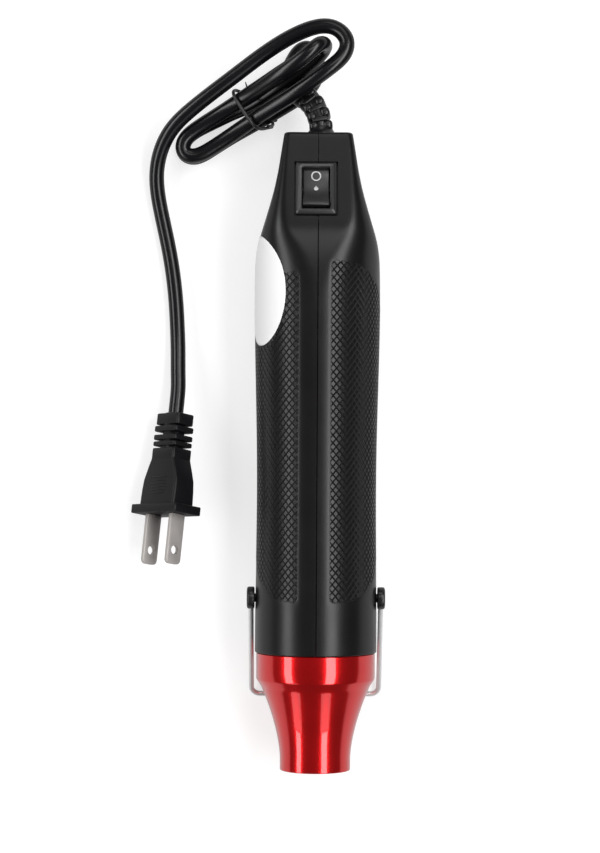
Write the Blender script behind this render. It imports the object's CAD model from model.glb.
"""Embossing heat tool: a slim hot-air gun with a wire stand and its bundled mains cord."""

from math import atan, cos, degrees, pi, radians, sin, sqrt

import bmesh
import bpy
from mathutils import Matrix, Vector


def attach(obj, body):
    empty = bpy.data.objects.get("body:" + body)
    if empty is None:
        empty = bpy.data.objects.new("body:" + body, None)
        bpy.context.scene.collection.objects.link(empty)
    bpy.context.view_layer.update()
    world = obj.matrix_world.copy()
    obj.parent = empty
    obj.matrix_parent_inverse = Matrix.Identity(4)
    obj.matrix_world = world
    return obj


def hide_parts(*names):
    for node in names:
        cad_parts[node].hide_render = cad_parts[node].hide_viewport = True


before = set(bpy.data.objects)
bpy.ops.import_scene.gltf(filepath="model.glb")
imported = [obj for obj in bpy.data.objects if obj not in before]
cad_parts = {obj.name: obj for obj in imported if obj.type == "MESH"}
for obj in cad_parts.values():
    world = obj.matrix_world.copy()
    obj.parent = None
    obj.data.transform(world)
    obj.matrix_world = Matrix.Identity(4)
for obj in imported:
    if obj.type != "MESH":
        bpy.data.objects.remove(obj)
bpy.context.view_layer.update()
scene = bpy.context.scene
mm = 0.001

# The tool's own sizes, in millimetres
axis_z = 21.9
tip_y = -111.2
rear_y = 111.2
joint_y = -69.9
waist_y = -13.3
neck_y = 55.95
pivot_y = -51.05
front_r = 21.3
waist_r = 20.8
shoulder_r = 21.9
rear_half_w = 11.85
rear_half_h = 9.75
outlet_x = 1.0
cord_r = 2.7


# Camera

camera_place = (-5.9, 9.0, 921)
camera_turn = 0.32
focal_px = 2565
photo_height_px = 853
sensor_side = 36


def add_camera():
    """A camera straight above the tool, with the tool's length up the picture."""
    data = bpy.data.cameras.new("camera")
    data.sensor_width = sensor_side
    data.lens = focal_px * sensor_side / photo_height_px
    camera = bpy.data.objects.new("camera", data)
    camera.location = Vector(camera_place) * mm
    camera.rotation_euler = (0, 0, radians(camera_turn))
    scene.collection.objects.link(camera)
    scene.camera = camera


add_camera()


# Making pieces

def show(piece):
    """Puts a piece into the scene, unless it is there."""
    if piece.name not in scene.collection.objects:
        scene.collection.objects.link(piece)


def keep(piece, body, finish, replaced=()):
    """Puts a finished piece on its body and in its finish."""
    show(piece)
    piece.data.materials.clear()
    piece.data.materials.append(finish)
    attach(piece, body)
    if replaced:
        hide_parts(*replaced)
    return piece


def shade(mesh, sharp=40):
    """Shades a mesh smooth but for edges sharper than an angle in degrees."""
    for face in mesh.polygons:
        face.use_smooth = True
    mesh.set_sharp_from_angle(angle=radians(sharp))


def piece_from(name, bm, sharp=40):
    """A mesh object from a bmesh in millimetres."""
    bmesh.ops.scale(bm, vec=(mm, mm, mm), verts=bm.verts)
    mesh = bpy.data.meshes.new(name)
    bm.to_mesh(mesh)
    bm.free()
    shade(mesh, sharp)
    return bpy.data.objects.new(name, mesh)


def thicken(piece, thickness, offset=-1):
    """Gives a sheet a thickness in millimetres: inwards, or half each way with an offset of 0."""
    skin = piece.modifiers.new("thickness", "SOLIDIFY")
    skin.thickness = thickness * mm
    skin.offset = offset
    return piece


def settle(piece):
    """Makes a piece's modifiers part of its mesh."""
    show(piece)
    graph = bpy.context.evaluated_depsgraph_get()
    mesh = bpy.data.meshes.new_from_object(piece.evaluated_get(graph))
    piece.modifiers.clear()
    piece.data = mesh
    return piece


def carve(piece, cutters):
    """Cuts each cutter out of a piece."""
    settle(piece)
    for cutter in cutters:
        show(cutter)
        hole = piece.modifiers.new("hole", "BOOLEAN")
        hole.object = cutter
        hole.operation = "DIFFERENCE"
        hole.solver = "EXACT"
        settle(piece)
        bpy.data.objects.remove(cutter)
    shade(piece.data)
    return piece


def bevel(bm, edges, offset, segments):
    """Rounds some edges of a bmesh."""
    bmesh.ops.bevel(bm, geom=edges, offset=offset, segments=segments, profile=0.5,
                    affect="EDGES", material=-1)


def block(size, place=(0, 0, 0), edge=0.0, segments=3):
    """A box of a size, with rounded edges."""
    bm = bmesh.new()
    bmesh.ops.create_cube(bm, size=1)
    bmesh.ops.scale(bm, vec=size, verts=bm.verts)
    if edge:
        bevel(bm, bm.edges[:], edge, segments)
    bmesh.ops.translate(bm, vec=place, verts=bm.verts)
    return bm


def add(bm, other):
    """Adds one bmesh to another."""
    mesh = bpy.data.meshes.new("part")
    other.to_mesh(mesh)
    other.free()
    bm.from_mesh(mesh)
    bpy.data.meshes.remove(mesh)
    return bm


def turned(profile, steps, closed=True):
    """A profile of (radius, height) points turned about +Z."""
    bm = bmesh.new()
    points = [bm.verts.new((r, 0, h)) for r, h in profile]
    last = len(points) if closed else len(points) - 1
    edges = [bm.edges.new((points[i], points[(i + 1) % len(points)])) for i in range(last)]
    bmesh.ops.spin(bm, geom=points + edges, cent=(0, 0, 0), axis=(0, 0, 1), dvec=(0, 0, 0),
                   angle=2 * pi, steps=steps, use_merge=True, use_duplicate=False)
    bmesh.ops.remove_doubles(bm, verts=bm.verts, dist=1e-5)
    bmesh.ops.recalc_face_normals(bm, faces=bm.faces)
    return bm


def placed(bm, matrix):
    """Moves a bmesh by a matrix."""
    bmesh.ops.transform(bm, matrix=matrix, verts=bm.verts)
    return bm


def along_tool(y):
    """Turns an upright piece so that it stands along the tool, with its foot at y."""
    return Matrix.Translation((0, y, axis_z)) @ Matrix.Rotation(radians(-90), 4, "X")


def across_tool(y, z, side=1):
    """Turns an upright piece so that it points out of one side of the tool."""
    return Matrix.Translation((0, y, axis_z + z)) @ Matrix.Rotation(radians(90 * side), 4, "Y")


# Curves

def pulled(points, steps):
    """A smooth curve that a list of points pulls towards them, through its two ends."""
    p = [Vector(q) for q in points]
    p = [2 * p[0] - p[1]] + p + [2 * p[-1] - p[-2]]
    line = []
    for i in range(1, len(p) - 2):
        for k in range(steps):
            t = k / steps
            line.append(((1 - t) ** 3 * p[i - 1] + (3 * t ** 3 - 6 * t * t + 4) * p[i]
                         + (3 * t * t * (1 - t) + 3 * t + 1) * p[i + 1] + t ** 3 * p[i + 2]) / 6)
    line.append(Vector(points[-1]))
    return line


def round_line(name, line, radius, smoothness=5):
    """A round rod along a line in millimetres, as one open curve."""
    data = bpy.data.curves.new(name, "CURVE")
    data.dimensions = "3D"
    data.bevel_depth = radius * mm
    data.bevel_resolution = smoothness
    data.use_fill_caps = True
    spline = data.splines.new("POLY")
    spline.points.add(len(line) - 1)
    for point, place in zip(spline.points, line):
        point.co = (place[0] * mm, place[1] * mm, place[2] * mm, 1)
    spline.use_smooth = True
    return bpy.data.objects.new(name, data)


def rod(line, radius, smoothness=5):
    """A bmesh of a round rod along a line in millimetres."""
    curve = round_line("rod", line, radius, smoothness)
    show(curve)
    graph = bpy.context.evaluated_depsgraph_get()
    mesh = bpy.data.meshes.new_from_object(curve.evaluated_get(graph))
    bpy.data.objects.remove(curve)
    bm = bmesh.new()
    bm.from_mesh(mesh)
    bmesh.ops.scale(bm, vec=(1 / mm, 1 / mm, 1 / mm), verts=bm.verts)
    return bm


# The housing's surface

# Sections of the neck, from the rear face to the shoulder: the share of its length from the rear,
# how far its half width and half height have grown towards the shoulder, and its corner radius
neck_shape = [(0, 0, 0, 2), (0.08, 0.067, 0.116, 2.3), (0.16, 0.134, 0.232, 2.7),
              (0.25, 0.209, 0.363, 3.3), (0.36, 0.333, 0.522, 4.4), (0.46, 0.481, 0.667, 6),
              (0.55, 0.63, 0.798, 8), (0.607, 0.728, 0.881, 10), (0.66, 0.823, 0.925, 12.5),
              (0.72, 0.907, 0.957, 15.5), (0.79, 0.965, 0.98, 18.5), (0.88, 0.988, 0.993, 20.6),
              (1, 1, 1, 21.9)]
neck_len = rear_y - neck_y
neck_blend = 1.5


def neck_row(share):
    """The neck's shape at a share of its length, straight between two sections."""
    share = min(max(share, 0), 1)
    for low, high in zip(neck_shape, neck_shape[1:]):
        if share <= high[0]:
            t = (share - low[0]) / (high[0] - low[0])
            return [a + (b - a) * t for a, b in zip(low[1:], high[1:])]
    return list(neck_shape[-1][1:])


def neck_section(y):
    """The neck's half width, half height and corner radius, softened over a short stretch."""
    share = (rear_y - y) / neck_len
    reach = min(neck_blend / neck_len, share)
    rows = [neck_row(share + reach * k / 2) for k in (-2, -1, 0, 1, 2)]
    wide, high, corner = [sum(row[k] for row in rows) / 5 for k in range(3)]
    return (rear_half_w + (shoulder_r - rear_half_w) * wide,
            rear_half_h + (shoulder_r - rear_half_h) * high, corner)


def body_radius(y):
    """The round body's radius, which narrows to the waist and grows again to the shoulder."""
    if y < waist_y:
        share = (y - joint_y) / (waist_y - joint_y)
        return waist_r + (front_r - waist_r) * (1 + cos(pi * share)) / 2
    share = min(1, (y - waist_y) / (neck_y - waist_y))
    return waist_r + (shoulder_r - waist_r) * (1 - cos(pi * share)) / 2


def skin_radius(y, turn):
    """How far the surface lies from the axis, at an angle in degrees from the top."""
    if y <= neck_y - neck_blend:
        return body_radius(y)
    w, h, c = neck_section(y)
    c = min(c, w, h)
    x = abs(sin(radians(turn)))
    z = abs(cos(radians(turn)))
    if x * h <= z * (w - c):
        return h / z
    if z * w <= x * (h - c):
        return w / x
    middle = x * (w - c) + z * (h - c)
    return middle + sqrt(max(0, middle ** 2 - (w - c) ** 2 - (h - c) ** 2 + c ** 2))


def on_skin(y, turn, lift=0.0):
    """A point over the surface: turn is in degrees from the top, to the right."""
    r = skin_radius(y, turn) + lift
    return Vector((r * sin(radians(turn)), y, axis_z + r * cos(radians(turn))))


# The flat on the neck that carries the switch
flat_end = neck_shape[7]
flat_rise = ((shoulder_r - rear_half_h) * flat_end[2]) / (flat_end[0] * neck_len)
flat_angle = atan(flat_rise)
switch_from_rear = 20.25
switch_x = -0.8
frame_w = 14.0
frame_len = 19.2
frame_gap = 0.5
switch_y = rear_y - switch_from_rear
switch_z = axis_z + rear_half_h + flat_rise * switch_from_rear
on_flat = Matrix.Translation((switch_x, switch_y, switch_z)) @ Matrix.Rotation(-flat_angle, 4, "X")


# Cord and what lies with it

# The strain relief: a straight foot, a bend to the left and down, and a straight tip
relief_foot = 0.6
relief_bend = 15.2
relief_turn = radians(65)
relief_tip = 2
relief_roll = radians(42)
relief_arc = relief_bend * relief_turn
relief_len = relief_foot + relief_arc + relief_tip


def relief_point(s):
    """A point of the strain relief's middle line, at a distance from the rear face."""
    turn = relief_turn * min(1, max(0, s - relief_foot) / relief_arc)
    on = max(0, s - relief_foot - relief_arc)
    side = relief_bend * (1 - cos(turn)) + on * sin(turn)
    back = min(s, relief_foot) + relief_bend * sin(turn) + on * cos(turn)
    return Vector((outlet_x - side * cos(relief_roll), rear_y + back,
                   axis_z - side * sin(relief_roll)))


# Points that pull the cord, from the strain relief on, stretch by stretch
low_loop = [(-12.8, 130.2, 6), (-11.6, 134.7, 4.2), (-9.6, 139, 3.2), (-7.6, 142.8, 3),
            (-4.6, 145, 3), (-1.4, 143.4, 3.4), (-0.2, 139, 4.2), (-0.4, 134.6, 5),
            (-2.2, 130.4, 5.6), (-6.2, 126.6, 6.2), (-11.5, 123.4, 6)]
left_low = [(-17.6, 119.8, 5.2), (-24.5, 116, 4.4), (-31.5, 112.2, 3.4), (-38, 108, 2.8),
            (-43.6, 104.4, 2.75), (-48.3, 105.8, 2.75), (-48.6, 110.8, 2.75),
            (-44.3, 114.5, 3.1), (-37.5, 117.6, 4.2), (-30.5, 120.9, 6)]
inner_turn = [(-23.8, 123, 9.4), (-18.2, 126.4, 13.6), (-12.8, 129.8, 17.6), (-7.2, 133, 19.2),
              (-2.6, 136.6, 20.3), (1.2, 140.2, 21.3), (2.6, 142.6, 25), (0.3, 142.3, 31),
              (-3.5, 138.7, 31.5), (-8, 135.2, 30), (-13.5, 132.2, 27), (-19.3, 128.8, 22)]
left_high = [(-25.3, 125.6, 16.8), (-31.5, 121.8, 13), (-37.5, 118.2, 11), (-43.5, 114.6, 9.6),
             (-48.2, 110.8, 9), (-48.4, 105.8, 8.9), (-43.8, 104.2, 9), (-37.5, 107.8, 9.6),
             (-31.5, 111.8, 10.6), (-26, 115.4, 12.6)]
outer_turn = [(-20.5, 119, 15.5), (-14, 122.8, 19.5), (-7.5, 126.2, 23.5), (-1.5, 130.2, 26),
              (4, 134.2, 27.5), (9, 138.2, 27), (10.5, 143.7, 26), (7, 148.2, 24.5),
              (2, 149.7, 23.5), (-4.5, 148.2, 22.5), (-12, 144.7, 21), (-20.5, 139.2, 19.5),
              (-28.5, 133.2, 17.6)]
lead = [(-37, 127, 16), (-45, 121, 14), (-52.3, 114.7, 11.4), (-56.5, 106.7, 8),
        (-58, 98.2, 4.6), (-57, 89.7, 2.9), (-55, 80.7, 2.75), (-53, 71.7, 2.75),
        (-51.5, 62.7, 2.75), (-50.5, 53.7, 2.75), (-50, 44.7, 2.75), (-49.6, 36.2, 3.5),
        (-49.6, 28.7, 4.8)]

# The plug: its tail's place, and how it is turned
plug_place = Vector((-50.2, 13, 7.3))
plug_yaw = radians(-5.2)
plug_tilt = radians(9)
plug_roll = radians(47)
plug_way = Vector((sin(plug_yaw) * cos(plug_tilt), -cos(plug_yaw) * cos(plug_tilt), sin(plug_tilt)))
on_plug = (Matrix.Translation(plug_place) @ Matrix.Rotation(plug_yaw, 4, "Z")
           @ Matrix.Rotation(radians(90) - plug_tilt, 4, "X") @ Matrix.Rotation(plug_roll, 4, "Z"))

# The tie: points of its loop, as (side, up) about its middle, whose last two lie beside the first
tie_middle = Vector((-22.6, 119.8, 11.2))
tie_way = Vector((6.2, 4, 3.2)).normalized()
tie_side = tie_way.cross(Vector((0, 0, 1))).normalized()
tie_up = tie_side.cross(tie_way)
tie_loop = [(6.5, -7.6), (6.3, -1), (6, 5), (2.7, 8), (-3, 8), (-9.2, 8.4), (-11, 4),
            (-8.6, -1), (-7.2, -5.4), (-4, -8.2), (0.5, -10.8), (5, -11.1), (6.5, -7.6),
            (6.3, -1)]
tie_lap = 0.65
tie_r = 0.6
prong_foot = Vector((-24.8, 127.2, 6.4))
prong_tip = Vector((-26, 131.5, 8.5))
prong_r = 0.6
prong_tip_r = 0.15
ball_place = Vector((-15.4, 118.7, 3))
ball_r = 0.85
line_steps = 6


def cord_line():
    """The cord's middle line, from the strain relief's tip into the plug."""
    route = ([relief_point(relief_len), relief_point(relief_len + 2 * cord_r)] + low_loop + left_low
             + inner_turn + left_high + outer_turn + lead
             + [plug_place - 10 * plug_way, plug_place - 5 * plug_way, plug_place])
    return pulled(route, line_steps)


# Finishes

coat_roughness = 0.06
least_roughness = 0.02
patch_detail = 4
grain_detail = 2
grain_height = 0.00008


def finish(name, colour, roughness, metal=0.0, coat=0.0, spread=0.08, patch=90, grain=0.0,
           grain_size=2500, tint=0.12, shine=0.5):
    """A surface whose colour and roughness drift a little, with a fine grain."""
    material = bpy.data.materials.new(name)
    material.use_nodes = True
    nodes = material.node_tree.nodes
    link = material.node_tree.links.new
    shader = nodes["Principled BSDF"]
    shader.inputs["Metallic"].default_value = metal
    shader.inputs["Coat Weight"].default_value = coat
    shader.inputs["Coat Roughness"].default_value = coat_roughness
    shader.inputs["Specular IOR Level"].default_value = shine
    place = nodes.new("ShaderNodeTexCoord")
    drift = nodes.new("ShaderNodeTexNoise")
    drift.inputs["Scale"].default_value = patch
    drift.inputs["Detail"].default_value = patch_detail
    link(place.outputs["Object"], drift.inputs["Vector"])
    rough = nodes.new("ShaderNodeMapRange")
    rough.inputs["To Min"].default_value = max(least_roughness, roughness - spread)
    rough.inputs["To Max"].default_value = min(1, roughness + spread)
    link(drift.outputs["Fac"], rough.inputs["Value"])
    link(rough.outputs["Result"], shader.inputs["Roughness"])
    mix = nodes.new("ShaderNodeMix")
    mix.data_type = "RGBA"
    mix.inputs["A"].default_value = (*[c * (1 - tint) for c in colour], 1)
    mix.inputs["B"].default_value = (*[min(1, c * (1 + tint)) for c in colour], 1)
    link(drift.outputs["Fac"], mix.inputs["Factor"])
    link(mix.outputs["Result"], shader.inputs["Base Color"])
    if grain:
        speck = nodes.new("ShaderNodeTexNoise")
        speck.inputs["Scale"].default_value = grain_size
        speck.inputs["Detail"].default_value = grain_detail
        link(place.outputs["Object"], speck.inputs["Vector"])
        bump = nodes.new("ShaderNodeBump")
        bump.inputs["Strength"].default_value = grain
        bump.inputs["Distance"].default_value = grain_height
        link(speck.outputs["Fac"], bump.inputs["Height"])
        link(bump.outputs["Normal"], shader.inputs["Normal"])
    return material


shell_plastic = finish("shell_plastic", (0.005, 0.005, 0.0055), 0.3, grain=0.08, spread=0.04,
                       shine=0.36)
switch_plastic = finish("switch_plastic", (0.009, 0.009, 0.01), 0.38, spread=0.05, grain=0.1,
                        shine=0.95)
red_enamel = finish("red_enamel", (0.72, 0.002, 0.004), 0.23, metal=0.78, coat=1.0, spread=0.04,
                    tint=0.04)
bright_chrome = finish("bright_chrome", (0.97, 0.97, 0.97), 0.3, metal=0.55, spread=0.03, tint=0.02)
knob_plastic = finish("knob_plastic", (0.012, 0.012, 0.012), 0.28, spread=0.05)
black_screw = finish("black_screw", (0.02, 0.02, 0.021), 0.35, metal=0.6)
zinc = finish("zinc", (0.5, 0.51, 0.53), 0.3, metal=1, patch=300)
sticker_paper = finish("sticker_paper", (0.96, 0.96, 0.96), 0.5, spread=0.04, tint=0.01)
relief_vinyl = finish("relief_vinyl", (0.007, 0.007, 0.008), 0.3, spread=0.06, grain=0.1)
cord_vinyl = finish("cord_vinyl", (0.004, 0.004, 0.005), 0.24, spread=0.04, patch=60, shine=0.42)
tie_plastic = finish("tie_plastic", (0.015, 0.015, 0.015), 0.3)
plug_vinyl = finish("plug_vinyl", (0.004, 0.004, 0.005), 0.42, spread=0.05, grain=0.12, shine=0.3)
blade_steel = finish("blade_steel", (0.52, 0.49, 0.47), 0.5, metal=0.5, patch=220)
ceramic = finish("ceramic", (0.72, 0.67, 0.56), 0.7, grain=0.4)
mica = finish("mica", (0.5, 0.42, 0.28), 0.4, patch=260, tint=0.3, grain=0.3)
tube_steel = finish("tube_steel", (0.5, 0.5, 0.51), 0.32, metal=1, patch=160)
hot_wire = finish("hot_wire", (0.3, 0.27, 0.25), 0.45, metal=1, patch=500, tint=0.3)
brass = finish("brass", (0.7, 0.5, 0.2), 0.3, metal=1, patch=200)
duct_plastic = finish("duct_plastic", (0.03, 0.03, 0.032), 0.55, grain=0.3)
fan_plastic = finish("fan_plastic", (0.7, 0.7, 0.67), 0.45, grain=0.1)
ground_steel = finish("ground_steel", (0.55, 0.55, 0.57), 0.22, metal=1)
motor_steel = finish("motor_steel", (0.46, 0.47, 0.49), 0.3, metal=1, patch=120)
board_laminate = finish("board_laminate", (0.3, 0.17, 0.06), 0.5, patch=300, tint=0.2)
parts_epoxy = finish("parts_epoxy", (0.03, 0.03, 0.035), 0.25)
wire_black = finish("wire_black", (0.02, 0.02, 0.02), 0.4)
wire_red = finish("wire_red", (0.45, 0.02, 0.015), 0.4)
wire_white = finish("wire_white", (0.72, 0.72, 0.69), 0.4)
mark_paint = finish("mark_paint", (0.62, 0.62, 0.62), 0.45, tint=0.01)

# The pieces that are shown as their solids are
cad_finishes = {
    zinc: ["housing_screws", "clamp_screws"],
    ceramic: ["insulating_ring", "element_carrier"],
    mica: ["mica_sleeve", "element_board_flat", "element_board_upright"],
    tube_steel: ["heat_shield"],
    hot_wire: ["heating_coil"],
    brass: ["thermal_cutoff", "motor_terminals", "switch_terminals"],
    duct_plastic: ["fan_duct", "motor_mount", "cord_clamp"],
    fan_plastic: ["fan_impeller"],
    ground_steel: ["motor_shaft"],
    motor_steel: ["motor_can"],
    board_laminate: ["circuit_board"],
    parts_epoxy: ["board_parts"],
    wire_black: ["wire_live"],
    wire_red: ["wire_heater", "wire_motor"],
    wire_white: ["wire_neutral"],
    bright_chrome: ["bail_wire"],
    black_screw: ["pivot_screws"],
    cord_vinyl: ["cord_inside"],
}


def dress_cad_nodes():
    """Gives each of those solids its finish."""
    for material, names in cad_finishes.items():
        for name in names:
            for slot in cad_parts[name].material_slots:
                slot.material = material


dress_cad_nodes()


# Cord, tie and plug

def add_cord():
    """The cord and its length in metres."""
    line = cord_line()
    length = sum((b - a).length for a, b in zip(line, line[1:])) * mm
    cord = round_line("mains_cord", line, cord_r, smoothness=6)
    keep(cord, "housing", cord_vinyl, ["cord_hank", "cord_lead"])
    return cord, length


def add_tie():
    """The tie's loop, with its pointed end and its knot."""
    points = []
    for i, (side, up) in enumerate(tie_loop):
        lap = tie_lap * max(0, i - len(tie_loop) + 3)
        points.append(tie_middle + side * tie_side + up * tie_up + lap * tie_way)
    bm = rod(pulled(points, line_steps), tie_r, smoothness=3)
    way = prong_tip - prong_foot
    prong = bmesh.new()
    bmesh.ops.create_cone(prong, cap_ends=True, segments=16, radius1=prong_r, radius2=prong_tip_r,
                          depth=way.length)
    turn = way.to_track_quat("Z", "Y").to_matrix().to_4x4()
    add(bm, placed(prong, Matrix.Translation((prong_tip + prong_foot) / 2) @ turn))
    ball = bmesh.new()
    bmesh.ops.create_icosphere(ball, subdivisions=3, radius=ball_r)
    add(bm, placed(ball, Matrix.Translation(ball_place)))
    tie = piece_from("cord_tie_loop", bm, sharp=60)
    return keep(tie, "housing", tie_plastic, ["cord_tie"])


corner_steps = 5


def rounded_sections(bm, sections):
    """Adds a skin through rounded rectangles, each (half width, half height, corner, height up)."""
    loops = []
    for w, h, c, up in sections:
        loop = []
        for sx, sy, start in ((1, 1, 0), (-1, 1, 90), (-1, -1, 180), (1, -1, 270)):
            for k in range(corner_steps + 1):
                a = radians(start + 90 * k / corner_steps)
                point = (sx * (w - c) + c * cos(a), sy * (h - c) + c * sin(a), up)
                loop.append(bm.verts.new(point))
        edges = [bm.edges.new((loop[i], loop[(i + 1) % len(loop)])) for i in range(len(loop))]
        loops.append(edges)
    for low, high in zip(loops, loops[1:]):
        bmesh.ops.bridge_loops(bm, edges=low + high)
    bmesh.ops.contextual_create(bm, geom=loops[0])
    bmesh.ops.contextual_create(bm, geom=loops[-1])
    bmesh.ops.recalc_face_normals(bm, faces=bm.faces)
    return bm


plug_len = 36.0
plug_core_r = 3.8
plug_core_len = 16
# Sections of the plug's grip and of its plate: half width, half height, corner, place along it
grip_sections = [(6, 4.35, 0.9, 16.4), (7.65, 4.35, 0.9, 20.4), (8.85, 4.5, 1, 24),
                 (9.1, 4.7, 1, 27.6), (9.1, 4.95, 1, 32.5), (9.1, 4.95, 1, 33.2)]
plate_sections = [(11.8, 5.85, 0.4, 32.9), (12, 6.05, 0.5, 33.1),
                  (12, 6.05, 0.5, plug_len - 0.2), (11.8, 5.85, 0.4, plug_len)]
# Blocks of the plug's collar: start, end, half width, half height
collar_blocks = [(0, 4.05, 6, 3.8), (4.6, 6.6, 6, 4.35), (7.8, 9.6, 6, 4.35), (10.2, 11.8, 6, 4.35),
                 (12.6, 16.6, 6, 4.35)]
collar_edge = 0.25
# Ribs across both flats of the grip, which lean out with it
rib_count = 6
rib_size = (7.6, 0.4, 0.5)
rib_edge = 0.15
rib_start = 23.2
rib_pitch = 1.15
rib_out = 4.469
rib_lean = 0.045
blade_x = 6.35
blade_w = 6.35
blade_t = 1.5
blade_len = 17.7
blade_corner = 1.6
blade_edge = 0.2
blade_hole_r = 1.6
blade_hole_from_tip = 5


def add_plug():
    """The plug: a core, the blocks of its collar, its grip with ribs, and its plate."""
    bm = turned([(0, -0.2), (plug_core_r - 0.3, -0.2), (plug_core_r, 0.15),
                 (plug_core_r, plug_core_len), (0, plug_core_len)], 32, closed=False)
    edge = collar_edge
    for low, high, w, h in collar_blocks:
        rounded_sections(bm, [(w - edge, h - edge, 0.8, low), (w, h, 0.9, low + edge),
                              (w, h, 0.9, high - edge), (w - edge, h - edge, 0.8, high)])
    rounded_sections(bm, grip_sections)
    rounded_sections(bm, plate_sections)
    for side in (-1, 1):
        for i in range(rib_count):
            out = side * (rib_out + rib_lean * rib_pitch * i)
            place = (0, out, rib_start + rib_pitch * i)
            add(bm, block(rib_size, place, rib_edge, segments=2))
    placed(bm, on_plug)
    plug = piece_from("plug_moulding", bm, sharp=50)
    return keep(plug, "housing", plug_vinyl, ["plug_body"])


def add_blades():
    """Both blades, with rounded tips and a hole each."""
    bm = bmesh.new()
    cutters = []
    for side in (-1, 1):
        blade = block((blade_t, blade_w, blade_len), (side * blade_x, 0, plug_len + blade_len / 2))
        tip = [e for e in blade.edges if all(v.co.z > plug_len + 1 for v in e.verts)]
        corners = [e for e in tip if abs(e.verts[0].co.x - e.verts[1].co.x) > 1]
        bevel(blade, corners, blade_corner, segments=5)
        rim = [e for e in blade.edges if e.calc_face_angle() > radians(60)]
        bevel(blade, rim, blade_edge, segments=2)
        add(bm, blade)
        hole = turned([(0, -2), (blade_hole_r, -2), (blade_hole_r, 2), (0, 2)], 32, closed=False)
        up = plug_len + blade_len - blade_hole_from_tip
        place = Matrix.Translation((side * blade_x, 0, up))
        placed(hole, on_plug @ place @ Matrix.Rotation(radians(90), 4, "Y"))
        cutters.append(piece_from("cutter", hole))
    blades = carve(piece_from("blade_pair", placed(bm, on_plug)), cutters)
    return keep(blades, "housing", blade_steel, ["plug_blades"])


cord, cord_length = add_cord()
tie = add_tie()
plug = add_plug()
blades = add_blades()


# Housing: each half is a grid of columns round the tool and rows along it

columns = 96
rows_front = 3
rows_along = 140
rows_round = 5
rows_rear = 5
rows = rows_front + rows_along + rows_round + rows_rear
seam_turns = (0.13, 0.45)
seam_groove = 0.25
skin_t = 1.9
front_edge = 0.3
rear_edge = 1.0
outlet_r = 4.2
# Where each side's grip starts beside the seam, its top and its foot
grips = {1: (4.3, 66.3, -51.8), -1: (6.3, 62.4, -51.8)}
grip_low = 46
grip_depth = 0.2
grip_border = 1.2
# The top falls and the foot rises with the square of the way round, past a straight start
grip_top_straight = 7
grip_top_fall = 0.0215
grip_foot_straight = 8
grip_foot_rise = 0.025


def grip_top(s, top):
    """Where the grip ends behind, at a way s round from the seam."""
    return top - grip_top_fall * max(0, s - grip_top_straight) ** 2


def grip_foot(s, foot):
    """Where the grip ends in front, at a way s round from the seam."""
    return foot + grip_foot_rise * max(0, s - grip_foot_straight) ** 2


def grip_share(y, turn, start, top, foot):
    """How far a point is into the grip: 1 well inside it, and 0 outside."""
    s = radians(turn) * body_radius(min(y, neck_y))
    inside = min(s - start, grip_low - s, grip_top(s, top) - y, y - grip_foot(s, foot))
    return min(1, max(0, inside / grip_border))


def column_turn(i):
    """The angle from the top of one of a half's columns of points."""
    if i < 2:
        return seam_turns[i]
    if i > columns - 2:
        return 180 - seam_turns[columns - i]
    return 180 * (i - 0.5) / (columns - 1)


def shell_point(i, j, side):
    """A point of a half's grid: over the front edge, along, over the rear edge, to the outlet."""
    turn = column_turn(i)
    groove = -seam_groove if i in (0, columns) else 0.0
    if j < rows_front:
        a = radians(90 * j / rows_front)
        y = joint_y + front_edge * (1 - cos(a))
        return on_skin(y, turn, groove - front_edge * (1 - sin(a)))
    j -= rows_front
    start = joint_y + front_edge
    end = rear_y - rear_edge
    if j <= rows_along:
        y = start + (end - start) * j / rows_along
        return on_skin(y, turn, groove - grip_depth * grip_share(y, turn, *grips[side]))
    j -= rows_along
    if j <= rows_round:
        a = radians(90 * j / rows_round)
        return on_skin(end + rear_edge * sin(a), turn, groove - rear_edge * (1 - cos(a)))
    share = (j - rows_round) / rows_rear
    rim = on_skin(rear_y, turn, groove - rear_edge)
    bore = Vector((outlet_r * sin(radians(turn)), rear_y, axis_z + outlet_r * cos(radians(turn))))
    return rim.lerp(bore, share)


def shell_half(name, side):
    """One half of the housing, before its holes: side is 1 for the right and -1 for the left."""
    bm = bmesh.new()
    bmesh.ops.create_grid(bm, x_segments=columns, y_segments=rows, size=0.5)
    for vert in bm.verts:
        i = round((vert.co.x + 0.5) * columns)
        j = round((vert.co.y + 0.5) * rows)
        vert.co = shell_point(i, j, side)
    if side < 0:
        bmesh.ops.scale(bm, vec=(-1, 1, 1), verts=bm.verts)
        bmesh.ops.reverse_faces(bm, faces=bm.faces)
    return thicken(piece_from(name, bm), skin_t)


cut_depth = 16
vent_count = 4
vent_w = 1.8
vent_len = 17
vent_step = 2
vent_pitch = 3.1
vent_y = rear_y - 38
vent_cut_z = 7
vent_end = 0.48
screw_ys = (joint_y + 12.05, neck_y - 25.8)
screw_off = 17
well_r = 2.6
well_hole_r = 1.6
well_wall = 0.5
# Where each well starts, has its floor, ends and stops being cut, from the tool's middle
well_foot, well_floor, well_end, well_cut = 0.2, 6.5, 12.5, 24


def slot_cutter(x, y, length):
    """A cutter for one vent slot, with round ends."""
    bm = block((vent_w, length, cut_depth), (x, y + length / 2, vent_cut_z))
    upright = [e for e in bm.edges if abs(e.verts[0].co.z - e.verts[1].co.z) > 1]
    bevel(bm, upright, vent_w * vent_end, segments=4)
    return piece_from("cutter", bm)


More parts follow.
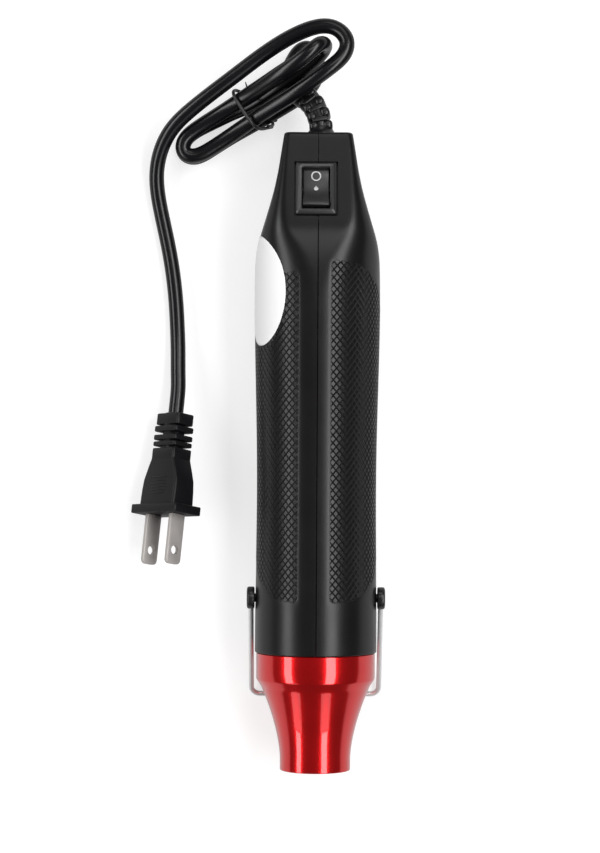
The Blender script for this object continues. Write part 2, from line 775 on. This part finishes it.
def housing_cutters(side):
    """Cutters for the switch, the vent slots and, on the right, the screw wells."""
    opening = block((frame_w + 2 * frame_gap, frame_len + 2 * frame_gap, cut_depth))
    cutters = [piece_from("cutter", placed(opening, on_flat))]
    for i in range(vent_count):
        length = vent_len - vent_step * i
        cutters.append(slot_cutter(side * vent_pitch * (i + 0.5), vent_y, length))
    if side > 0:
        for y in screw_ys:
            well = turned([(0, well_floor), (well_r, well_floor), (well_r, well_cut),
                           (0, well_cut)], 32, closed=False)
            cutters.append(piece_from("cutter", placed(well, across_tool(y, -screw_off))))
    return cutters


def add_housing():
    """Both halves of the housing, and the tubes of the screw wells."""
    right = carve(shell_half("shell_right", 1), housing_cutters(1))
    left = carve(shell_half("shell_left", -1), housing_cutters(-1))
    keep(right, "housing", shell_plastic, ["housing_right"])
    keep(left, "housing", shell_plastic, ["housing_left"])
    wells = bmesh.new()
    for y in screw_ys:
        tube = turned([(well_hole_r, well_foot), (well_hole_r, well_floor), (well_r, well_floor),
                       (well_r, well_end), (well_r + well_wall, well_end),
                       (well_r + well_wall, well_foot)], 32)
        add(wells, placed(tube, across_tool(y, -screw_off)))
    keep(piece_from("screw_wells", wells), "housing", shell_plastic)


add_housing()


# Sticker

sticker_len = 38
sticker_w = 25
sticker_turn = 63
sticker_lift = 0.16
sticker_t = 0.14
sticker_steps = 40


def in_sticker(y, turn):
    """How far a point lies from the sticker's middle, as a share of its half size."""
    along = (y - neck_y) / (sticker_len / 2)
    round_way = radians(-turn - sticker_turn) * shoulder_r / (sticker_w / 2)
    return sqrt(along ** 2 + round_way ** 2)


def add_sticker():
    """The sticker, from a square grid drawn in to an oval and laid on the housing."""
    bm = bmesh.new()
    bmesh.ops.create_grid(bm, x_segments=sticker_steps, y_segments=sticker_steps, size=1)
    for vert in bm.verts:
        x, y, _ = vert.co
        along = y * sqrt(1 - x * x / 2) * sticker_len / 2
        round_way = x * sqrt(1 - y * y / 2) * sticker_w / 2
        turn = -sticker_turn - degrees(round_way / shoulder_r)
        vert.co = on_skin(neck_y + along, turn, sticker_lift)
    bmesh.ops.reverse_faces(bm, faces=bm.faces)
    sticker = settle(thicken(piece_from("sticker", bm), sticker_t))
    keep(sticker, "housing", sticker_paper, ["label_sticker"])


add_sticker()


# Grips: raised diamonds on each flank

diamond_w = 2.3
diamond_h = 2.7
groove_w = 0.55
pad_lift = 0.08
floor_lift = -0.14
grip_corner = 2.2
# Diamonds each way, and the places (round, along) of their middle and of the grip's
diamond_count = 72
diamond_place = (25, 7.5, 0)
grip_middle = (25, 7, 0)
# Ways round at which the outline's curved ends have points
outline_stops = (14, 20, 26, 32, 38, grip_low)
least_diamond = 0.35
# Diamonds this far out, as a share of the sticker's size, lie flat under it
sticker_reach = 1.02
flat_lift = 0.01


def grip_outline(start, top, foot):
    """The grip's outline as (round, along) points, going round it."""
    arc = [radians(90 * k / 4) for k in range(5)]
    outline = [(start + grip_corner * (1 - cos(a)), top - grip_corner * (1 - sin(a))) for a in arc]
    outline += [(s, grip_top(s, top)) for s in outline_stops]
    outline += [(s, grip_foot(s, foot)) for s in reversed(outline_stops)]
    outline += [(start + grip_corner * (1 - cos(a)), foot + grip_corner * (1 - sin(a)))
                for a in reversed(arc)]
    return outline


def add_grip(name, side, start, top, foot):
    """A grip: a flat net of diamonds, cut to its outline, grooved and laid on the housing."""
    bm = bmesh.new()
    bmesh.ops.create_grid(bm, x_segments=diamond_count, y_segments=diamond_count,
                          size=diamond_count / 2)
    placed(bm, Matrix.Rotation(radians(45), 4, "Z"))
    bmesh.ops.scale(bm, vec=(diamond_w / sqrt(2), diamond_h / sqrt(2), 1), verts=bm.verts)
    bmesh.ops.translate(bm, vec=diamond_place, verts=bm.verts)
    outline = grip_outline(start, top, foot)
    middle = Vector(grip_middle)
    for a, b in zip(outline, outline[1:] + outline[:1]):
        a = Vector((*a, 0))
        b = Vector((*b, 0))
        out = Vector((b.y - a.y, a.x - b.x, 0))
        if out.length < 1e-4:
            continue
        if out.dot(middle - a) > 0:
            out = -out
        bmesh.ops.bisect_plane(bm, geom=bm.verts[:] + bm.edges[:] + bm.faces[:], plane_co=a,
                               plane_no=out.normalized(), clear_outer=True, dist=1e-5)
    crumbs = [f for f in bm.faces if f.calc_area() < least_diamond]
    bmesh.ops.delete(bm, geom=crumbs, context="FACES")
    slopes = bmesh.ops.inset_individual(bm, faces=bm.faces[:], thickness=groove_w / 2, depth=0,
                                        use_even_offset=True)["faces"]
    low = set(slopes)
    high = {vert for face in bm.faces if face not in low for vert in face.verts}
    for vert in bm.verts:
        s, y, _ = vert.co
        turn = side * degrees(s / body_radius(min(y, neck_y)))
        lift = pad_lift if vert in high else floor_lift
        if in_sticker(y, turn) < sticker_reach:
            lift = flat_lift
        vert.co = on_skin(y, turn, lift)
    if side < 0:
        bmesh.ops.reverse_faces(bm, faces=bm.faces)
    keep(piece_from(name, bm, sharp=20), "housing", shell_plastic)


add_grip("grip_right", 1, *grips[1])
add_grip("grip_left", -1, *grips[-1])


# Nozzle

nozzle_len = 41.3
mouth_len = 4
mouth_r = 11.15
nozzle_wall = 1.2
collar_r = 20.8
collar_len = 11.8
chamfer_len = 2.4
flare_end_r = 19.15
flare_len = nozzle_len - mouth_len - collar_len
flare_curve = 1.65
flare_steps = 20
lip_r = 0.35
lip_steps = 6
# The spigot that the housing grips, and the gap between collar and housing
spigot_r = 19.2
spigot_bore = 18
spigot_len = 5
collar_gap = 0.05


def flare_r(s):
    """The outer radius at a share of the way from the mouth to the collar."""
    return mouth_r + nozzle_wall + (flare_end_r - mouth_r - nozzle_wall) * s ** flare_curve


def add_nozzle():
    """The nozzle with its collar, turned from a profile that starts at the mouth's outside."""
    outer = mouth_r + nozzle_wall
    profile = []
    for k in range(lip_steps + 1):
        a = radians(90 * k / lip_steps)
        profile.append((outer - lip_r * (1 - sin(a)), lip_r * (1 - cos(a))))
    profile += [(outer, 2), (outer, mouth_len)]
    profile += [(flare_r(k / flare_steps), mouth_len + flare_len * k / flare_steps)
                for k in range(1, flare_steps + 1)]
    edge = nozzle_len - collar_len + chamfer_len
    back = nozzle_len - collar_gap
    profile += [(collar_r - 0.25, edge - 0.3), (collar_r, edge + 0.25), (collar_r, edge + 4),
                (collar_r, back - 0.3), (collar_r - 0.3, back), (spigot_r, back),
                (spigot_r, nozzle_len + spigot_len), (spigot_bore, nozzle_len + spigot_len),
                (spigot_bore, edge)]
    profile += [(flare_r(k / flare_steps) - nozzle_wall, mouth_len + flare_len * k / flare_steps)
                for k in range(flare_steps, 0, -1)]
    profile += [(mouth_r, mouth_len), (mouth_r, 0.5), (mouth_r + 0.15, 0)]
    bm = placed(turned(profile, 128), along_tool(tip_y))
    nozzle = piece_from("nozzle_shell", bm, sharp=30)
    keep(nozzle, "housing", red_enamel, ["nozzle"])


add_nozzle()


# Switch

rocker_w = 9.0
rocker_len = 14.6
rocker_axis = -1.6
rocker_rest = radians(-10)
# The rocker's hollow top: lowest over the pivot, rising with the square of the way along
rocker_dip = 1.5
rocker_hollow = 38
rocker_crest = 2.4
rocker_skirt = -0.2
rocker_foot = -2.6
rocker_foot_y = 5
rocker_edge = 0.35
rocker_steps = 20
pin_r = 0.75
pin_reach = 1
on_rocker = (on_flat @ Matrix.Translation((0, 0, rocker_axis))
             @ Matrix.Rotation(rocker_rest, 4, "X"))


def rocker_top(y):
    """The height of the rocker's top over its pivot."""
    return min(rocker_crest, rocker_dip + y * y / rocker_hollow)


# The switch's sections, as rounded_sections takes them
body_sections = [(5.9, 8.5, 0.4, -11), (5.9, 8.5, 0.4, -3.2)]
hollow_sections = [(5.2, 8, 0.5, 1.2), (4.95, 7.75, 0.45, 1.05), (4.8, 7.6, 0.4, 0.7),
                   (4.8, 7.6, 0.4, -7.4)]
switch_lip = 1.4


def add_switch():
    """The switch: its body, a lip under the housing, a bevelled frame and the rocker's hollow."""
    w = frame_w / 2
    h = frame_len / 2
    lip_sections = [(w + switch_lip, h + switch_lip, 0.7, -2.9),
                    (w + switch_lip, h + switch_lip, 0.7, -2.4)]
    frame_sections = [(w, h, 0.7, -2.2), (w, h, 0.7, 0.45), (w - 0.12, h - 0.12, 0.65, 0.68),
                      (w - 0.8, h - 0.75, 0.6, 1.16), (w - 1, h - 0.95, 0.6, 1.28)]
    bm = rounded_sections(bmesh.new(),
                          body_sections + lip_sections + frame_sections + hollow_sections)
    switch = piece_from("switch_frame", placed(bm, on_flat), sharp=30)
    keep(switch, "housing", switch_plastic, ["switch_body"])


def add_rocker():
    """The rocker, swept across from its side view, with its pin."""
    bm = bmesh.new()
    half = rocker_len / 2
    top = [rocker_len * k / rocker_steps - half for k in range(rocker_steps + 1)]
    outline = [(y, rocker_top(y)) for y in top]
    outline += [(half - 0.3, rocker_skirt), (rocker_foot_y, rocker_foot),
                (-rocker_foot_y, rocker_foot), (0.3 - half, rocker_skirt)]
    side = [bm.verts.new((-rocker_w / 2, y, z)) for y, z in outline]
    face = bm.faces.new(side)
    swept = bmesh.ops.extrude_face_region(bm, geom=[face])
    moved = [g for g in swept["geom"] if isinstance(g, bmesh.types.BMVert)]
    bmesh.ops.translate(bm, vec=(rocker_w, 0, 0), verts=moved)
    bmesh.ops.recalc_face_normals(bm, faces=bm.faces)
    rim = [e for e in bm.edges if len(e.link_faces) == 2 and e.calc_face_angle() > radians(50)]
    bevel(bm, rim, rocker_edge, segments=3)
    end = rocker_w / 2 + pin_reach
    pin = turned([(0, -end), (pin_r, -end), (pin_r, end), (0, end)], 24, closed=False)
    add(bm, placed(pin, Matrix.Rotation(radians(90), 4, "Y")))
    placed(bm, on_rocker)
    rocker = piece_from("rocker_cap", bm, sharp=35)
    keep(rocker, "rocker", switch_plastic, ["rocker"])


ring_y = 4.5
# Radius of each edge of the ring, and its height before it is laid on the rocker
ring_edges = ((1.3, 0), (1.75, 0.1))
drop_y = -0.3
drop_r = 0.76
drop_point = [(0.28, 0.55), (0, 1.05), (-0.28, 0.55)]
mark_lift = 0.03
mark_t = 0.05


def add_marks():
    """The ring and the drop on the rocker's top."""
    bm = bmesh.new()
    rings = []
    for r, up in ring_edges:
        made = bmesh.ops.create_circle(bm, cap_ends=False, segments=40, radius=r,
                                       matrix=Matrix.Translation((0, 0, up)))
        rings.append(list(dict.fromkeys(e for v in made["verts"] for e in v.link_edges)))
    bmesh.ops.bridge_loops(bm, edges=rings[0] + rings[1])
    bmesh.ops.translate(bm, vec=(0, ring_y, 0), verts=bm.verts)
    turns = [radians(a) for a in range(-110, 111, 20)]
    drop = [(drop_r * sin(a), drop_y - drop_r * cos(a)) for a in turns] + drop_point
    bm.faces.new([bm.verts.new((x, y, 0)) for x, y in drop])
    for vert in bm.verts:
        vert.co.z = rocker_top(vert.co.y) + mark_lift
    bmesh.ops.recalc_face_normals(bm, faces=bm.faces)
    placed(bm, on_rocker)
    marks = settle(thicken(piece_from("switch_marks", bm), mark_t, 0))
    keep(marks, "rocker", mark_paint)


add_switch()
add_rocker()
add_marks()


# Knobs of the wire stand

knob_x = 21.5
knob_t = 2.7
knob_r = 3.9
knob_bore = 1.6
dish_r = 2.55
dish_floor = knob_t - 0.5


def add_knob(name, side, node):
    """A knob with rounded rims and a dish for the screw's head."""
    profile = [(knob_bore, 0), (knob_r - 0.5, 0), (knob_r - 0.12, 0.15), (knob_r, 0.5),
               (knob_r, 2), (knob_r - 0.12, 2.35), (knob_r - 0.45, 2.6), (knob_r - 0.8, knob_t),
               (dish_r + 0.15, knob_t), (dish_r, knob_t - 0.12), (dish_r, dish_floor),
               (knob_bore, dish_floor)]
    bm = turned(profile, 64)
    bmesh.ops.translate(bm, vec=(0, 0, knob_x), verts=bm.verts)
    placed(bm, across_tool(pivot_y, 0, side))
    keep(piece_from(name, bm), "stand", knob_plastic, [node])


add_knob("knob_right", 1, "pivot_knob_right")
add_knob("knob_left", -1, "pivot_knob_left")


# Strain relief: blocks that take turns round a core

relief_core_r = 2.85
relief_collar_len = 1.9
relief_rings = 9
# The blocks of even and odd rings: depth, width, share of the pitch, edge, reach outwards
ring_blocks = ((3.4, 6.8, 1.75, 1.3, 4.1), (1.4, 5.4, 0.9, 0.5, 3.4))
# Radius and height of the boot's foot, from inside the housing outwards
boot_profile = [(2.75, -4.1), (5.2, -4.1), (5.2, -2.5), (4.15, -2.5), (4.15, 0), (5.2, 0),
                (5.2, 0.5), (4.6, 1), (4, relief_collar_len), (3.7, 3), (2.75, 3.2)]
core_start = 1
core_steps = 30


def relief_place(s):
    """A frame on the strain relief's middle line, with +Z along it."""
    here = relief_point(s)
    way = (relief_point(s + 0.05) - relief_point(s - 0.05)).normalized()
    up = (Vector((0, 0, 1)) - way * way.z).normalized()
    side = up.cross(way)
    turn = Matrix((side, up, way)).transposed().to_4x4()
    return Matrix.Translation(here) @ turn


def add_relief():
    """The strain relief: a foot with a groove for the housing, a core and its rings of blocks."""
    bm = turned(boot_profile, 48)
    placed(bm, Matrix.Translation((outlet_x, 0, 0)) @ along_tool(rear_y))
    core = [relief_point(core_start + (relief_len - core_start) * k / core_steps)
            for k in range(core_steps + 1)]
    add(bm, rod(core, relief_core_r, smoothness=6))
    step = (relief_len - relief_collar_len) / relief_rings
    for i in range(relief_rings):
        deep, wide, share, edge, reach = ring_blocks[i % 2]
        ring = relief_place(relief_collar_len + step * (i + 0.5))
        ring = ring @ Matrix.Rotation(radians(90 * (i % 2)), 4, "Z")
        for side in (-1, 1):
            place = (side * (reach - deep / 2), 0, 0)
            lump = block((deep, wide, share * step), place, edge, segments=4)
            add(bm, placed(lump, ring))
    relief = piece_from("strain_relief_boot", bm)
    keep(relief, "housing", relief_vinyl, ["strain_relief"])


add_relief()


# Floor and light

floor_half = 3000
floor_drop = 0.05
floor_grey = 0.4
floor_roughness = 0.8
floor_shine = 0.1
# How brightly the floor glows, as the camera sees it and as glossy surfaces mirror it
floor_seen = 0.68
floor_mirrored = 0.25
world_strength = 0.08
# Angle from straight up to the right, place along, distance, size, power and tilt
softboxes = {
    "softbox_right": (29, 0, 1.3, (0.42, 1.9), 16, 0),
    "softbox_left": (-54, 0, 1.4, (0.38, 1.9), 12.5, 0),
    "front_fill_right": (29, -1.4, 1.3, (0.6, 0.85), 2.4, 0),
    "front_fill_left": (-54, -1.4, 1.4, (0.6, 0.85), 2.4, 0),
    "top_fill": (2, 0.47, 1.15, (0.6, 0.34), 1.6, 0),
    "rear_fill": (2, 1.1, 0.78, (0.6, 0.45), 1.4, -50),
}


def floor_material():
    """A pale floor that takes soft shadows and looks near white to the camera."""
    material = bpy.data.materials.new("floor_white")
    material.use_nodes = True
    nodes = material.node_tree.nodes
    link = material.node_tree.links.new
    paint = nodes["Principled BSDF"]
    paint.inputs["Base Color"].default_value = (floor_grey, floor_grey, floor_grey, 1)
    paint.inputs["Roughness"].default_value = floor_roughness
    paint.inputs["Specular IOR Level"].default_value = floor_shine
    glow = nodes.new("ShaderNodeEmission")
    glow.inputs["Color"].default_value = (1, 1, 1, 1)
    path = nodes.new("ShaderNodeLightPath")
    mirrored = nodes.new("ShaderNodeMath")
    mirrored.operation = "MULTIPLY"
    mirrored.inputs[1].default_value = floor_mirrored
    link(path.outputs["Is Glossy Ray"], mirrored.inputs[0])
    share = nodes.new("ShaderNodeMath")
    share.operation = "MULTIPLY_ADD"
    share.inputs[1].default_value = floor_seen
    link(path.outputs["Is Camera Ray"], share.inputs[0])
    link(mirrored.outputs["Value"], share.inputs[2])
    link(share.outputs["Value"], glow.inputs["Strength"])
    both = nodes.new("ShaderNodeAddShader")
    link(paint.outputs["BSDF"], both.inputs[0])
    link(glow.outputs["Emission"], both.inputs[1])
    link(both.outputs["Shader"], nodes["Material Output"].inputs["Surface"])
    return material


def add_floor():
    """The floor that the tool lies on."""
    bm = bmesh.new()
    bmesh.ops.create_grid(bm, x_segments=1, y_segments=1, size=floor_half)
    bmesh.ops.translate(bm, vec=(0, 0, -floor_drop), verts=bm.verts)
    floor = piece_from("floor", bm)
    show(floor)
    floor.data.materials.append(floor_material())


def add_softbox(name, angle, along, distance, size, power, tilt):
    """One softbox, facing the tool."""
    data = bpy.data.lights.new(name, "AREA")
    data.shape = "RECTANGLE"
    data.size = size[0]
    data.size_y = size[1]
    data.energy = power
    lamp = bpy.data.objects.new(name, data)
    lamp.location = (distance * sin(radians(angle)), along, distance * cos(radians(angle)))
    lamp.rotation_euler = (radians(tilt), radians(angle), 0)
    show(lamp)


def add_light():
    """A faint even light from all round, and the softboxes."""
    world = bpy.data.worlds.new("studio")
    scene.world = world
    world.use_nodes = True
    background = world.node_tree.nodes["Background"]
    background.inputs["Color"].default_value = (1, 1, 1, 1)
    background.inputs["Strength"].default_value = world_strength
    for name, values in softboxes.items():
        add_softbox(name, *values)


add_floor()
add_light()
scene.view_settings.view_transform = "Standard"
